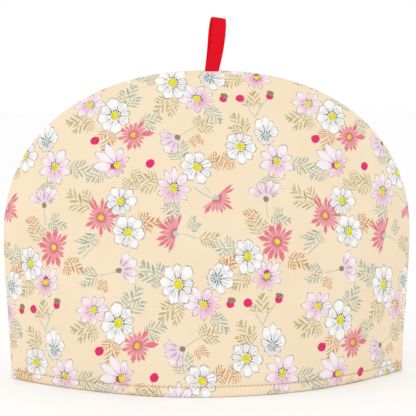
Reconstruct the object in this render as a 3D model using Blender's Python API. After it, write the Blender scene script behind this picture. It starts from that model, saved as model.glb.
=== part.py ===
"""Tea cosy: two padded cloth panels seamed round the arch, with a ribbon loop at the top.

Metres, +Z up. The hem stands on z = 0, and the seam lies in the plane y = 0.
The front panel bulges towards -Y and the back panel towards +Y.
The loop's two tails are caught in pockets in the seam, a little right of the middle.
"""

import math

import bmesh
import bpy
from mathutils import Matrix
import numpy as np

# Outline of the standing cosy, before the seam's groove takes its depth off all round
WIDTH = 0.3032
HEIGHT = 0.2261
SHOULDER = 0.103        # height where the straight sides turn into the arch
ARCH_POWER = 2.2        # 2 is an ellipse, more is squarer
HEM_DRAW = 0.028        # share by which the hem is narrower than the shoulder

# How far each panel stands out from the seam plane
HEM_DEPTH = 0.077
LEAN = 0.232            # depth lost for each metre of height
HEM_FULLNESS = 2.0      # power of the bulge across the hem, 2 is a parabola
SIDE_FULLNESS = 3.2     # power of the bulge across the shoulder
TOP_FULLNESS = 3.5      # power of the bulge towards the top

# The padded cloth
WALL = 0.005
SEAM_GAP = 0.0003
SEAM_GROOVE = 0.0016    # how deep the two panels' edges dip to the seam
SEAM_ROUND = 0.0022     # how far from the seam the dip is felt
HEM_ROUND = 0.0016      # rounding of the hem's outer lower edge
LINED_ROUND = 0.0012    # rounding of the hem's inner lower edge
STITCH_HEIGHT = 0.007   # line of topstitching above the hem
STITCH_DEPTH = 0.0007
STITCH_REACH = 0.0013
HEM_BAND_TOP = 0.0105
HEM_BAND_ROWS = (0.0, 0.0005, 0.0016, 0.0040, 0.0056, 0.0070, 0.0084, HEM_BAND_TOP)
COLUMNS = 34
ROWS = 18

# Soft troughs (+) and ridges (-) of each panel: middle, reach and how far the face dips
FRONT_FOLDS = (
    {"x": -0.085, "z": 0.120, "reach_x": 0.030, "reach_z": 0.060, "dip": 0.0016},
    {"x": 0.070, "z": 0.060, "reach_x": 0.035, "reach_z": 0.045, "dip": -0.0012},
    {"x": 0.098, "z": 0.135, "reach_x": 0.022, "reach_z": 0.045, "dip": 0.0018},
    {"x": -0.030, "z": 0.035, "reach_x": 0.040, "reach_z": 0.030, "dip": -0.0010},
)
BACK_FOLDS = (
    {"x": 0.075, "z": 0.110, "reach_x": 0.032, "reach_z": 0.055, "dip": 0.0018},
    {"x": -0.060, "z": 0.070, "reach_x": 0.040, "reach_z": 0.045, "dip": -0.0013},
    {"x": -0.095, "z": 0.140, "reach_x": 0.024, "reach_z": 0.040, "dip": 0.0015},
)

# The ribbon loop
RIBBON_WIDTH = 0.010
RIBBON_THICK = 0.0008
LOOP_HEIGHT = 0.040
LOOP_SWELL = 0.0055     # sets the widest gap between the legs
LOOP_BELLY = 1.5        # more puts the widest gap higher
LOOP_X = 0.0018
LOOP_LEAN = math.radians(7.8)
LOOP_TWIST = 0.22       # sideways shift of a leg for its distance from the seam plane
LOOP_POINTS = 44
TAIL = 0.0045
TAIL_GAP = 0.0003
POCKET_CLEARANCE = 0.0003


def make_material(name, color, roughness):
    material = bpy.data.materials.new(name)
    material.use_nodes = True
    shader = material.node_tree.nodes["Principled BSDF"]
    shader.inputs["Base Color"].default_value = (*color, 1)
    shader.inputs["Roughness"].default_value = roughness
    shader.inputs["Metallic"].default_value = 0.0
    return material


def add_object(name, mesh, material):
    obj = bpy.data.objects.new(name, mesh)
    bpy.context.scene.collection.objects.link(obj)
    mesh.materials.append(material)
    mesh.shade_smooth()
    mesh.set_sharp_from_angle(angle=math.radians(50))
    return obj


def drawn_side(height):
    """The sides' share of the full width: all of it at the shoulder, easing in to the hem's."""
    below = np.clip((SHOULDER - height) / SHOULDER, 0, 1)
    return 1 - HEM_DRAW * below**2 * (3 - 2 * below)


def half_width(height, widest, top):
    """Half the outline's width: drawn-in sides below the shoulder, a superellipse above it."""
    above = np.clip((height - SHOULDER) / (top - SHOULDER), 0, 1)
    arch = (1 - above**ARCH_POWER) ** (1 / ARCH_POWER)
    return widest * arch * drawn_side(height)


def outline_grid(heights, widest, top):
    """x and z over the panel: rows of a square wrapped onto the arch, level near the hem."""
    across = np.sin(np.linspace(-math.pi / 2, math.pi / 2, COLUMNS + 1))
    across, rise = np.meshgrid(across, heights / top)
    level = (1 - rise) ** 2
    bow = np.sqrt(1 - across**2 / 2)
    up = rise * (level + (1 - level) * bow)
    side = across * np.sqrt(1 - (up / bow) ** 2 / 2)
    radius = np.maximum(np.hypot(side, up), 1e-9)
    x = np.sign(across) * radius * half_width(top * up / radius, widest, top)
    return x, top * up


def bulge(x, z, widest, top, depth):
    """How far the cloth stands out: full in the middle, nothing at the outline."""
    above = np.clip((z - SHOULDER) / (top - SHOULDER), 0, 1)
    below = np.clip((SHOULDER - z) / SHOULDER, 0, 1)
    across = np.clip(np.abs(x) / (widest * drawn_side(z)), 0, 1)
    reach = across**ARCH_POWER + above**ARCH_POWER
    upwards = above**ARCH_POWER / np.maximum(reach, 1e-9)
    side_power = SIDE_FULLNESS + (HEM_FULLNESS - SIDE_FULLNESS) * below**2
    power = side_power * (1 - upwards) + TOP_FULLNESS * upwards
    return (depth - LEAN * z) * (1 - np.clip(reach, 0, 1) ** (power / ARCH_POWER))


def folds_at(x, z, folds):
    """The sum of the soft troughs and ridges, each a bell in x and z."""
    total = np.zeros_like(x)
    for fold in folds:
        bell = ((x - fold["x"]) / fold["reach_x"]) ** 2 + ((z - fold["z"]) / fold["reach_z"]) ** 2
        total += fold["dip"] * np.exp(-bell)
    return total


def turned_edge(z, radius):
    """How far a rounded lower edge draws in at this height: a quarter circle."""
    drop = np.clip(1 - z / radius, 0, 1)
    return radius * (1 - np.sqrt(1 - drop**2))


def row_heights(top):
    """Heights of the rows up the middle: the hem band's own, then closer together at the top."""
    turn = np.linspace(0, math.pi / 2, ROWS + 1)[1:]
    rest = HEM_BAND_TOP + (top - HEM_BAND_TOP) * np.sin(turn)
    return np.concatenate([HEM_BAND_ROWS, rest])


def outer_skin(folds):
    """Points of the outer face, with depth as a positive y."""
    widest = WIDTH / 2
    x, z = outline_grid(row_heights(HEIGHT), widest, HEIGHT)
    depth = bulge(x, z, widest, HEIGHT, HEM_DEPTH)
    inside = depth / HEM_DEPTH
    stitched = STITCH_DEPTH * np.exp(-(((z - STITCH_HEIGHT) / STITCH_REACH) ** 2))
    drawn_in = folds_at(x, z, folds) * np.minimum(1, 3 * inside)
    drawn_in += turned_edge(z, HEM_ROUND) + stitched
    # The edge that dips to the seam moves towards the middle of the arch
    dip = SEAM_GROOVE * np.exp(-((depth / SEAM_ROUND) ** 2))
    above = np.maximum(z - SHOULDER, 0)
    away = np.maximum(np.hypot(x, above), 1e-9)
    turned_x = x * (1 - turned_edge(z, HEM_ROUND) / (WIDTH / 2))
    x_out = turned_x - dip * x / away
    z_out = z - dip * above / away
    y_out = SEAM_GAP / 2 + np.maximum(depth - drawn_in * np.minimum(1, 4 * inside), 0)
    return np.stack([x_out, y_out, z_out], axis=-1)


def inner_skin():
    """Points of the inner face, a wall's thickness inside the outer one."""
    widest = WIDTH / 2 - WALL
    top = HEIGHT - WALL
    x, z = outline_grid(row_heights(top), widest, top)
    depth = bulge(x, z, widest, top, HEM_DEPTH - WALL)
    inside = np.minimum(1, 4 * depth / HEM_DEPTH)
    y_in = SEAM_GAP / 2 + depth + turned_edge(z, LINED_ROUND) * inside
    return np.stack([x, y_in, z], axis=-1)


def make_panel(name, side, folds, material):
    """A closed shell: outer face, inner face, and one strip of faces round the edge between them."""
    skins = []
    panel = bmesh.new()
    for points in (outer_skin(folds), inner_skin()):
        points[..., 1] *= side
        skins.append([[panel.verts.new(point) for point in row] for row in points])
    for skin in skins:
        for low, high in zip(skin, skin[1:]):
            for i in range(COLUMNS):
                panel.faces.new((low[i], low[i + 1], high[i + 1], high[i]))
    rims = []
    for skin in skins:
        left = [row[0] for row in skin]
        right = [row[-1] for row in skin]
        rims.append(skin[0][:-1] + right[:-1] + skin[-1][:0:-1] + left[:0:-1])
    outer, inner = rims
    for i in range(len(outer)):
        following = (i + 1) % len(outer)
        panel.faces.new((outer[i], outer[following], inner[following], inner[i]))
    bmesh.ops.recalc_face_normals(panel, faces=panel.faces)
    mesh = bpy.data.meshes.new(name)
    panel.to_mesh(mesh)
    panel.free()
    return add_object(name, mesh, material)


def loop_place():
    """Where the loop stands: its foot in the seam's groove, leaning to +X."""
    foot = HEIGHT - SEAM_GROOVE
    return Matrix.Translation((LOOP_X, 0, foot)) @ Matrix.Rotation(LOOP_LEAN, 4, "Y")


def ribbon_path():
    """The ribbon's middle line in (y, z): up the front tail, round a drop, and down the back one."""
    around = np.linspace(0, 2 * math.pi, LOOP_POINTS)
    tail_middle = (TAIL_GAP + RIBBON_THICK) / 2
    swell = LOOP_SWELL * np.sin(around) * np.sin(around / 2) ** LOOP_BELLY
    y = -(swell + tail_middle * np.cos(around / 2))
    z = (LOOP_HEIGHT - RIBBON_THICK / 2) * (1 - np.cos(around)) / 2
    y = np.concatenate([y[:1], y, y[-1:]])
    z = np.concatenate([[-TAIL], z, [-TAIL]])
    return np.stack([y, z], axis=-1)


def make_loop(name, material):
    """A flat band of the ribbon's section, carried along its middle line."""
    path = ribbon_path()
    along = np.gradient(path, axis=0)
    along[:2] = along[-2:] = 0, 1
    along[-2:] *= -1
    along /= np.linalg.norm(along, axis=1, keepdims=True)
    outwards = np.stack([-along[:, 1], along[:, 0]], axis=-1)
    band = bmesh.new()
    sections = []
    for middle, normal in zip(path, outwards):
        section = []
        for edge, face in ((-1, 1), (1, 1), (1, -1), (-1, -1)):
            y, z = middle + normal * face * RIBBON_THICK / 2
            x = edge * RIBBON_WIDTH / 2 - LOOP_TWIST * middle[0]
            section.append(band.verts.new((x, y, z)))
        sections.append(section)
    for first, second in zip(sections, sections[1:]):
        for k in range(4):
            m = (k + 1) % 4
            band.faces.new((first[k], first[m], second[m], second[k]))
    band.faces.new(sections[0])
    band.faces.new(sections[-1])
    bmesh.ops.recalc_face_normals(band, faces=band.faces)
    bmesh.ops.transform(band, matrix=loop_place(), verts=band.verts)
    mesh = bpy.data.meshes.new(name)
    band.to_mesh(mesh)
    band.free()
    return add_object(name, mesh, material)


def make_pocket_cutter():
    """A block a little wider and thicker than the two tails, long enough to pass the seam's wall."""
    half_depth = TAIL_GAP / 2 + RIBBON_THICK + POCKET_CLEARANCE
    half_breadth = RIBBON_WIDTH / 2 + POCKET_CLEARANCE + LOOP_TWIST * half_depth
    reach = 2 * WALL
    bpy.ops.mesh.primitive_cube_add(size=2)
    cutter = bpy.context.object
    cutter.name = "tail_pocket_cutter"
    cutter.data.transform(Matrix.Diagonal((half_breadth, half_depth, reach, 1)))
    cutter.data.transform(loop_place())
    cutter.hide_render = True
    cutter.display_type = "WIRE"
    return cutter


def cut_pocket(panel, cutter):
    pocket = panel.modifiers.new("tail pocket", "BOOLEAN")
    pocket.operation = "DIFFERENCE"
    pocket.solver = "EXACT"
    pocket.object = cutter


def main():
    for obj in list(bpy.data.objects):
        bpy.data.objects.remove(obj, do_unlink=True)
    cloth = make_material("printed cotton", (0.93, 0.78, 0.57), 0.85)
    ribbon = make_material("red ribbon", (0.80, 0.01, 0.03), 0.55)
    front = make_panel("front_panel", -1, FRONT_FOLDS, cloth)
    back = make_panel("back_panel", 1, BACK_FOLDS, cloth)
    make_loop("hanging_loop", ribbon)
    cutter = make_pocket_cutter()
    for panel in (front, back):
        cut_pocket(panel, cutter)


main()
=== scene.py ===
# %% [markdown]
# # A padded tea cosy in printed cotton
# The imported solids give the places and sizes. This lesson gives them their looks: two padded
# covers with a flower print, the topstitching along the hem, and a ribbon loop at the top.

# %% Load the frame
import math
from collections import namedtuple

import bpy
import numpy as np
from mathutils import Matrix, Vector


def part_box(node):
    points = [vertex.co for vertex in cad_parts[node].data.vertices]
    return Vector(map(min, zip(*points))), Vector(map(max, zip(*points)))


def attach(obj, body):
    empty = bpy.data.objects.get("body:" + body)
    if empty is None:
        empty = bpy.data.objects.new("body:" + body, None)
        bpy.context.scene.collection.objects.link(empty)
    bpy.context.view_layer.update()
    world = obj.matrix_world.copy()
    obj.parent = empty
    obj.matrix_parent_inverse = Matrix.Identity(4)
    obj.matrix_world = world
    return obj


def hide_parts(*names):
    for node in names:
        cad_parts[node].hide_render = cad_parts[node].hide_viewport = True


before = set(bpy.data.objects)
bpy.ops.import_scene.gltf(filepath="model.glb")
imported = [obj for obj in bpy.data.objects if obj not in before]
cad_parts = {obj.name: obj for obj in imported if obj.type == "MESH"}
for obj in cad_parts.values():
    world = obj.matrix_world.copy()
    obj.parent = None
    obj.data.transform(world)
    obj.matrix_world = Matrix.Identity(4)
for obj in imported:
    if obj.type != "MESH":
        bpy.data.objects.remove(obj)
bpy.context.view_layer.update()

# %% [markdown]
# ## The camera
# A cosy is looked at from table height: a long lens about a metre away, a little above it and
# a little to its left, so that the near bottom corner hangs lower than the far one.

# %% Camera
CAMERA_TURN = math.radians(-5.6)
CAMERA_RISE = math.radians(5.7)
CAMERA_DISTANCE = 1.05
CAMERA_LENS = 123.7
LOOK_AT = Vector((-0.001, 0.0, 0.1238))

view_back = Vector((
    math.sin(CAMERA_TURN) * math.cos(CAMERA_RISE),
    -math.cos(CAMERA_TURN) * math.cos(CAMERA_RISE),
    math.sin(CAMERA_RISE),
))
camera = bpy.data.objects.new("camera", bpy.data.cameras.new("camera"))
bpy.context.scene.collection.objects.link(camera)
camera.data.lens = CAMERA_LENS
camera.data.sensor_width = 36
camera.location = LOOK_AT + view_back * CAMERA_DISTANCE
camera.rotation_euler = (-view_back).to_track_quat("-Z", "Y").to_euler()
bpy.context.scene.camera = camera
print("camera", round(CAMERA_DISTANCE, 2), "m away")

# %% [markdown]
# ## Sizes
# The outer sizes are read from the frame. The seam runs in a shallow groove, so the cut edge of
# each panel reaches a groove's depth further than the box that the frame gives.

# %% Sizes
SEAM_GROOVE = 0.0016
front_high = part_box("front_panel")[1]
HALF_WIDTH = front_high.x + SEAM_GROOVE
HEIGHT = front_high.z + SEAM_GROOVE
HEM_DEPTH = 0.077
WALL = 0.005
SEAM_GAP = 0.0004
SEAM_ROUND = 0.0022
SHOULDER = 0.103
ARCH_POWER = 2.2
HEM_DRAW = 0.028
LEAN = 0.232
HEM_FULLNESS, SIDE_FULLNESS, TOP_FULLNESS = 2.0, 3.2, 3.5
HEM_ROUND, LINED_ROUND = 0.0016, 0.0012
STITCH_HEIGHT, STITCH_DEPTH, STITCH_REACH = 0.007, 0.0008, 0.0012
TURNED_HEM = 0.012
print("panel", round(2000 * HALF_WIDTH), "mm wide and", round(1000 * HEIGHT), "mm high before its seam")

# %% [markdown]
# ## The shape of a padded panel
# A real panel is flat cloth, bent out by the wadding behind it and held in by the seam. It could be
# simulated, but a formula keeps it exactly on the solid: how far the cloth stands out is a depth
# that leans in towards the top, times one minus a power of the distance to the outline.

# %% The outline and the bulge
def drawn_side(height):
    """The sides' share of the full width: all of it at the shoulder, easing in to the hem's."""
    below = np.clip((SHOULDER - height) / SHOULDER, 0, 1)
    return 1 - HEM_DRAW * below**2 * (3 - 2 * below)


def half_width(height, widest, top):
    """Half the outline's width: drawn-in sides below the shoulder, a superellipse above it."""
    above = np.clip((height - SHOULDER) / (top - SHOULDER), 0, 1)
    return widest * (1 - above**ARCH_POWER) ** (1 / ARCH_POWER) * drawn_side(height)


def bulge(x, z, widest, top, depth):
    """Depth times one minus distance to a power; the power is lower, so rounder, at the hem."""
    above = np.clip((z - SHOULDER) / (top - SHOULDER), 0, 1)
    below = np.clip((SHOULDER - z) / SHOULDER, 0, 1)
    across = np.clip(np.abs(x) / (widest * drawn_side(z)), 0, 1)
    reach = across**ARCH_POWER + above**ARCH_POWER
    upwards = above**ARCH_POWER / np.maximum(reach, 1e-9)
    side_power = SIDE_FULLNESS + (HEM_FULLNESS - SIDE_FULLNESS) * below**2
    power = side_power * (1 - upwards) + TOP_FULLNESS * upwards
    return (depth - LEAN * z) * (1 - np.clip(reach, 0, 1) ** (power / ARCH_POWER))


COLUMNS = 230
FINE_HEM_ROWS = 29
FINE_HEM_TOP = 0.014
ROWS = 130


def outline_grid(heights, widest, top):
    """A square of rows and columns wrapped onto the arch: level near the hem, bowed above.

    The columns crowd towards the seam, where the cloth turns in most tightly."""
    even = np.linspace(-1, 1, COLUMNS + 1)
    across = 0.25 * even + 0.75 * np.sin(even * math.pi / 2)
    across, rise = np.meshgrid(across, heights / top)
    level = (1 - rise) ** 2
    bow = np.sqrt(1 - across**2 / 2)
    up = rise * (level + (1 - level) * bow)
    side = across * np.sqrt(1 - (up / bow) ** 2 / 2)
    radius = np.maximum(np.hypot(side, up), 1e-9)
    return np.sign(across) * radius * half_width(top * up / radius, widest, top), top * up


def row_heights(top):
    """Fine even rows over the hem band, then rows that crowd towards the top seam."""
    turn = np.linspace(0, math.pi / 2, ROWS + 1)[1:]
    rest = FINE_HEM_TOP + (top - FINE_HEM_TOP) * (0.25 * turn * 2 / math.pi + 0.75 * np.sin(turn))
    return np.concatenate([np.linspace(0, FINE_HEM_TOP, FINE_HEM_ROWS), rest])


print("grid of", COLUMNS, "by", FINE_HEM_ROWS + ROWS, "cells")

# %% [markdown]
# ## Soft folds, puckers and the hem band
# Padded cloth is never quite smooth. A few broad troughs and ridges sit where the wadding is
# uneven, the seam draws the cloth into tiny puckers, and the topstitching presses a channel with a
# slightly plumper band below it. Each is a bell or a wave added to the depth.

# %% Unevenness of the cloth
Fold = namedtuple("Fold", "x z reach_x reach_z dip")
FRONT_FOLDS = (
    Fold(-0.085, 0.120, 0.030, 0.060, 0.0016),
    Fold(0.070, 0.060, 0.035, 0.045, -0.0012),
    Fold(0.098, 0.135, 0.022, 0.045, 0.0018),
    Fold(-0.030, 0.035, 0.040, 0.030, -0.0010),
)
BACK_FOLDS = (
    Fold(0.075, 0.110, 0.032, 0.055, 0.0018),
    Fold(-0.060, 0.070, 0.040, 0.045, -0.0013),
    Fold(-0.095, 0.140, 0.024, 0.040, 0.0015),
)
SLACK = 0.00035
ARCH_RADIUS = 0.13
SEAM_PUCKER = 0.00035
HEM_PUCKER = 0.00030


def folds_at(x, z, folds):
    """The sum of the soft troughs and ridges, each a bell in x and z."""
    total = np.zeros_like(x)
    for fold in folds:
        bell = ((x - fold.x) / fold.reach_x) ** 2 + ((z - fold.z) / fold.reach_z) ** 2
        total += fold.dip * np.exp(-bell)
    return total


def uneven_wave(along, phase):
    """Three sines of unrelated lengths, so that the puckers never quite repeat."""
    return (np.sin(along / 0.0021 + phase) + np.sin(along / 0.0034 + 2 * phase)
            + np.sin(along / 0.0057 + 3 * phase)) / 3


def puckers_at(x, z, depth, phase):
    """Slack over the whole face, puckers that fade away from the seam, and others at the hem."""
    slack = np.sin(x / 0.017 + phase) * np.sin(z / 0.021 + 2 * phase) * SLACK
    round_arch = np.arctan2(z - SHOULDER, x) * ARCH_RADIUS
    seam = SEAM_PUCKER * uneven_wave(round_arch, phase) * np.exp(-((depth - 0.004) / 0.007) ** 2)
    hem = HEM_PUCKER * uneven_wave(x * 1.2, phase + 1) * np.exp(-((z - STITCH_HEIGHT) / 0.006) ** 2)
    return slack + seam + hem


def turned_edge(z, radius):
    """How far a rounded lower edge draws in at this height: a quarter circle."""
    drop = np.clip(1 - z / radius, 0, 1)
    return radius * (1 - np.sqrt(1 - drop**2))


def outer_skin(folds, phase):
    """Points of the printed face, with the depth as a positive y."""
    x, z = outline_grid(row_heights(HEIGHT), HALF_WIDTH, HEIGHT)
    depth = bulge(x, z, HALF_WIDTH, HEIGHT, HEM_DEPTH)
    inside = depth / HEM_DEPTH
    stitched = STITCH_DEPTH * np.exp(-(((z - STITCH_HEIGHT) / STITCH_REACH) ** 2))
    plump = -0.0003 * np.exp(-(((z - 0.5 * STITCH_HEIGHT) / 0.002) ** 2))
    drawn_in = (folds_at(x, z, folds) + puckers_at(x, z, depth, phase)) * np.minimum(1, 3 * inside)
    drawn_in += turned_edge(z, HEM_ROUND) + stitched + plump
    dip = SEAM_GROOVE * np.exp(-((depth / SEAM_ROUND) ** 2))
    above = np.maximum(z - SHOULDER, 0)
    away = np.maximum(np.hypot(x, above), 1e-9)
    x_out = x * (1 - turned_edge(z, HEM_ROUND) / HALF_WIDTH) - dip * x / away
    y_out = SEAM_GAP / 2 + np.maximum(depth - drawn_in * np.minimum(1, 4 * inside), 0)
    return np.stack([x_out, y_out, z - dip * above / away], axis=-1)


def inner_skin(phase):
    """Points of the lining, a wall inside, with the turned hem standing a thread proud of it."""
    widest, top = HALF_WIDTH - WALL, HEIGHT - WALL
    x, z = outline_grid(row_heights(top), widest, top)
    depth = bulge(x, z, widest, top, HEM_DEPTH - WALL)
    inside = np.minimum(1, 4 * depth / HEM_DEPTH)
    hem_layer = 0.0005 * np.clip((TURNED_HEM - z) / 0.0006 + 0.5, 0, 1)
    stitched = 0.0004 * np.exp(-(((z - STITCH_HEIGHT) / STITCH_REACH) ** 2))
    slack = puckers_at(x, z, depth, phase) * 0.8
    y_in = SEAM_GAP / 2 + depth + (turned_edge(z, LINED_ROUND) - hem_layer + stitched - slack) * inside
    return np.stack([x, np.maximum(y_in, SEAM_GAP / 2), z], axis=-1)


print(len(FRONT_FOLDS), "soft folds in front,", len(BACK_FOLDS), "behind")

# %% [markdown]
# ## Laying the cloth on the shape
# The print is straight on the flat cloth, so it has to bend with the panel. The cloth's own
# coordinates are therefore lengths measured along the surface: across from the middle, and up from
# the hem. The threads droop a little at the sides, where the cloth was pulled round.

# %% Cloth coordinates
CLOTH_DROOP = 0.0158
DROOP_AT = 0.175
STEPS = 28


def length_across(x, z):
    """Surface length from the middle line out to each point, as the sum of short chords."""
    shares = np.linspace(0, 1, STEPS)
    xs = x[..., None] * shares
    ys = bulge(xs, z[..., None], HALF_WIDTH, HEIGHT, HEM_DEPTH)
    return np.sign(x) * np.hypot(np.diff(xs, axis=-1), np.diff(ys, axis=-1)).sum(axis=-1)


def length_up(x, z):
    """Surface length from the hem straight up to each point, as the sum of short chords."""
    shares = np.linspace(0, 1, STEPS)
    zs = z[..., None] * shares
    ys = bulge(x[..., None], zs, HALF_WIDTH, HEIGHT, HEM_DEPTH)
    return np.hypot(np.diff(zs, axis=-1), np.diff(ys, axis=-1)).sum(axis=-1)


def cloth_coordinates():
    """(across, up) in metres of cloth for every point of the outer grid."""
    x, z = outline_grid(row_heights(HEIGHT), HALF_WIDTH, HEIGHT)
    across = length_across(x, z)
    up = length_up(x, z) + CLOTH_DROOP * (across / DROOP_AT) ** 2
    return np.stack([across, up], axis=-1)


flat_cloth = cloth_coordinates()
FLAT_WIDTH = float(np.ptp(flat_cloth[..., 0]))
FLAT_HEIGHT = float(np.ptp(flat_cloth[..., 1]))
print("cloth reaches", round(1000 * FLAT_WIDTH), "by", round(1000 * FLAT_HEIGHT), "mm")

# %% [markdown]
# ## From grids to a closed shell
# Two grids of equal size, the printed face and the lining, are joined by one strip of faces round
# the edge. Each corner of a face carries two places: its place on the cloth, for the print, and its
# place on a flat layout where no two faces overlap, which gives the printed side the most room.

# %% Shell builder
BAKE_MAP = "OFBake"
MARGIN = 0.005
PRINTED_FROM = 0.24
LINED_BAND = (0.03, 0.22)
STRIP_TOP = 0.02


def grid_quads(index):
    return np.stack([index[:-1, :-1], index[:-1, 1:], index[1:, 1:], index[1:, :-1]], -1).reshape(-1, 4)


def rim_of(index):
    """The grid's edge, once round: hem, right side, top, left side."""
    return np.concatenate([index[0, :-1], index[:-1, -1], index[-1, :0:-1], index[:0:-1, 0]])


def link_piece(name, mesh):
    piece = bpy.data.objects.new(name, mesh)
    bpy.context.scene.collection.objects.link(piece)
    mesh.shade_smooth()
    return piece


def add_map(mesh, name, corners):
    layer = mesh.uv_layers.new(name=name)
    layer.data.foreach_set("uv", corners.astype(np.float32).ravel())


def shell_piece(name, outer, inner, cloth, turned_over):
    """A closed mesh of two skins, with a cloth map and a layout map."""
    rows, columns = outer.shape[:2]
    count = rows * columns
    index = np.arange(count).reshape(rows, columns)
    edge = rim_of(index)
    after = np.roll(edge, -1)
    printed = grid_quads(index)
    lined = grid_quads(index + count)[:, ::-1]
    strip = np.stack([edge, edge + count, after + count, after], axis=-1)
    quads = np.concatenate([printed, lined, strip])
    under = np.stack([cloth[..., 0], -WALL - inner[..., 2]], axis=-1)
    places = np.concatenate([cloth.reshape(-1, 2), under.reshape(-1, 2)])
    spread = (cloth - cloth.reshape(-1, 2).min(axis=0)) / max(FLAT_WIDTH, FLAT_HEIGHT)
    printed_at = MARGIN + (1 - 2 * MARGIN) * spread.reshape(-1, 2)[printed] + (0, PRINTED_FROM)
    share = np.stack(np.meshgrid(np.linspace(MARGIN, 1 - MARGIN, columns),
                                 np.linspace(*LINED_BAND, rows)), axis=-1).reshape(-1, 2)
    lined_at = share[lined - count]
    around = np.linspace(MARGIN, 1 - MARGIN, len(edge) + 1)
    strip_u = np.stack([around[:-1], around[:-1], around[1:], around[1:]], axis=-1)
    strip_v = np.broadcast_to([MARGIN, STRIP_TOP, STRIP_TOP, MARGIN], strip_u.shape)
    layout = np.concatenate([printed_at, lined_at, np.stack([strip_u, strip_v], axis=-1)])
    if turned_over:
        quads, layout = quads[:, ::-1], layout[:, ::-1]
    mesh = bpy.data.meshes.new(name)
    points = np.concatenate([outer.reshape(-1, 3), inner.reshape(-1, 3)])
    mesh.from_pydata(points.tolist(), [], quads.tolist())
    add_map(mesh, "cloth", places[quads])
    add_map(mesh, BAKE_MAP, layout)
    return link_piece(name, mesh)


# %% Front and back covers
def make_cover(name, node, side, folds, phase, cloth_shift):
    """side is -1 for the front and 1 for the back; seen from outside, the print reads one way."""
    outer, inner = outer_skin(folds, phase), inner_skin(phase)
    outer[..., 1] *= side
    inner[..., 1] *= side
    cloth = flat_cloth * (-side, 1) + cloth_shift
    cover = shell_piece(name, outer, inner, cloth, turned_over=side > 0)
    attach(cover, "root")
    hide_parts(node)
    print(name, len(cover.data.polygons), "faces")
    return cover, outer, inner


PRINT_SHIFT = {"front": (0.0, 0.0), "back": (0.057, 0.0)}
front_cover, front_outer, front_inner = make_cover(
    "front_cover", "front_panel", -1, FRONT_FOLDS, 0.7, PRINT_SHIFT["front"])
back_cover, back_outer, back_inner = make_cover(
    "back_cover", "back_panel", 1, BACK_FOLDS, 2.9, PRINT_SHIFT["back"])

# %% [markdown]
# ## Topstitching
# A line of tan thread holds the turned hem, about 7 mm above the edge. It could be painted on, but
# each stitch catches the light, so each is a small rounded stroke of thread that dips into the cloth
# at both ends. All stitches of a panel are one mesh, worked out as arrays.

# %% Stitches
STITCH_PITCH = 0.0030
STITCH_LENGTH = 0.0024
THREAD_RADIUS = 0.00024
SECTIONS, SIDES = 7, 6


def stitch_line(skin, height):
    """Middles and directions of the stitches along the skin's row nearest to this height."""
    row = skin[np.abs(skin[:, COLUMNS // 2, 2] - height).argmin()]
    steps = np.linalg.norm(np.diff(row, axis=0), axis=1)
    along = np.concatenate([[0], np.cumsum(steps)])
    count = int((along[-1] - 0.004) / STITCH_PITCH)
    middles = along[-1] / 2 + (np.arange(count) - (count - 1) / 2) * STITCH_PITCH
    ends = [np.stack([np.interp(middles + shift, along, row[:, k]) for k in range(3)], axis=-1)
            for shift in (-STITCH_LENGTH / 2, STITCH_LENGTH / 2)]
    direction = ends[1] - ends[0]
    return sum(ends) / 2, direction / np.linalg.norm(direction, axis=1, keepdims=True)


def stitches_mesh(name, lines):
    """For each stitch, rings round a short arc: high in the middle, sunk and thin at its ends."""
    middles = np.concatenate([line[0] for line in lines])
    forward = np.concatenate([line[1] for line in lines])
    outward = np.concatenate([line[2] for line in lines])
    upward = np.cross(outward, forward)
    s = np.linspace(-1, 1, SECTIONS)
    turn = np.arange(SIDES) / SIDES * 2 * math.pi
    radius = THREAD_RADIUS * (1 - 0.75 * s**6)
    lift = THREAD_RADIUS * (0.9 - 1.9 * s**4)
    centre = (middles[:, None] + forward[:, None] * s[None, :, None] * STITCH_LENGTH / 2
              + outward[:, None] * lift[None, :, None])
    ring = (outward[:, None, None] * np.cos(turn)[None, None, :, None]
            + upward[:, None, None] * np.sin(turn)[None, None, :, None])
    points = centre[:, :, None] + ring * radius[None, :, None, None]
    index = np.arange(len(middles) * SECTIONS * SIDES).reshape(-1, SECTIONS, SIDES)
    ahead = np.roll(index, -1, axis=2)
    sides = np.stack([index[:, :-1], index[:, 1:], ahead[:, 1:], ahead[:, :-1]], -1).reshape(-1, 4)
    caps = np.concatenate([index[:, 0], index[:, -1, ::-1]])
    mesh = bpy.data.meshes.new(name)
    mesh.from_pydata(points.reshape(-1, 3).tolist(), [], sides.tolist() + caps.tolist())
    return mesh


def make_stitches(name, outer, inner, side):
    lines = []
    for skin, facing in ((outer, side), (inner, -side)):
        middles, forward = stitch_line(skin, STITCH_HEIGHT)
        outward = np.cross(forward, (0, 0, 1)) * (1 if facing < 0 else -1)
        lines.append((middles, forward, outward / np.linalg.norm(outward, axis=1, keepdims=True)))
    stitches = link_piece(name, stitches_mesh(name, lines))
    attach(stitches, "root")
    print(name, len(lines[0][0]), "stitches outside")
    return stitches


front_stitches = make_stitches("front_topstitch", front_outer, front_inner, -1)
back_stitches = make_stitches("back_topstitch", back_outer, back_inner, 1)

# %% [markdown]
# ## The ribbon loop
# A short length of ribbon is folded in half and its tails are sewn into the seam, so it stands up as
# a narrow drop. It is a flat section carried along that drop: the formula for the middle line is a
# sine that is widened towards the top, and the band leans to the right.

# %% Ribbon
RIBBON_WIDTH, RIBBON_THICK = 0.010, 0.0007
LOOP_HEIGHT, LOOP_SWELL, LOOP_BELLY = 0.0385, 0.0055, 1.5
LOOP_X, LOOP_LEAN, LOOP_TWIST = 0.0018, math.radians(7.8), 0.22
LOOP_POINTS, EDGE_POINTS = 140, 32
TAIL, TAIL_GAP = 0.0045, 0.0003


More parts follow.
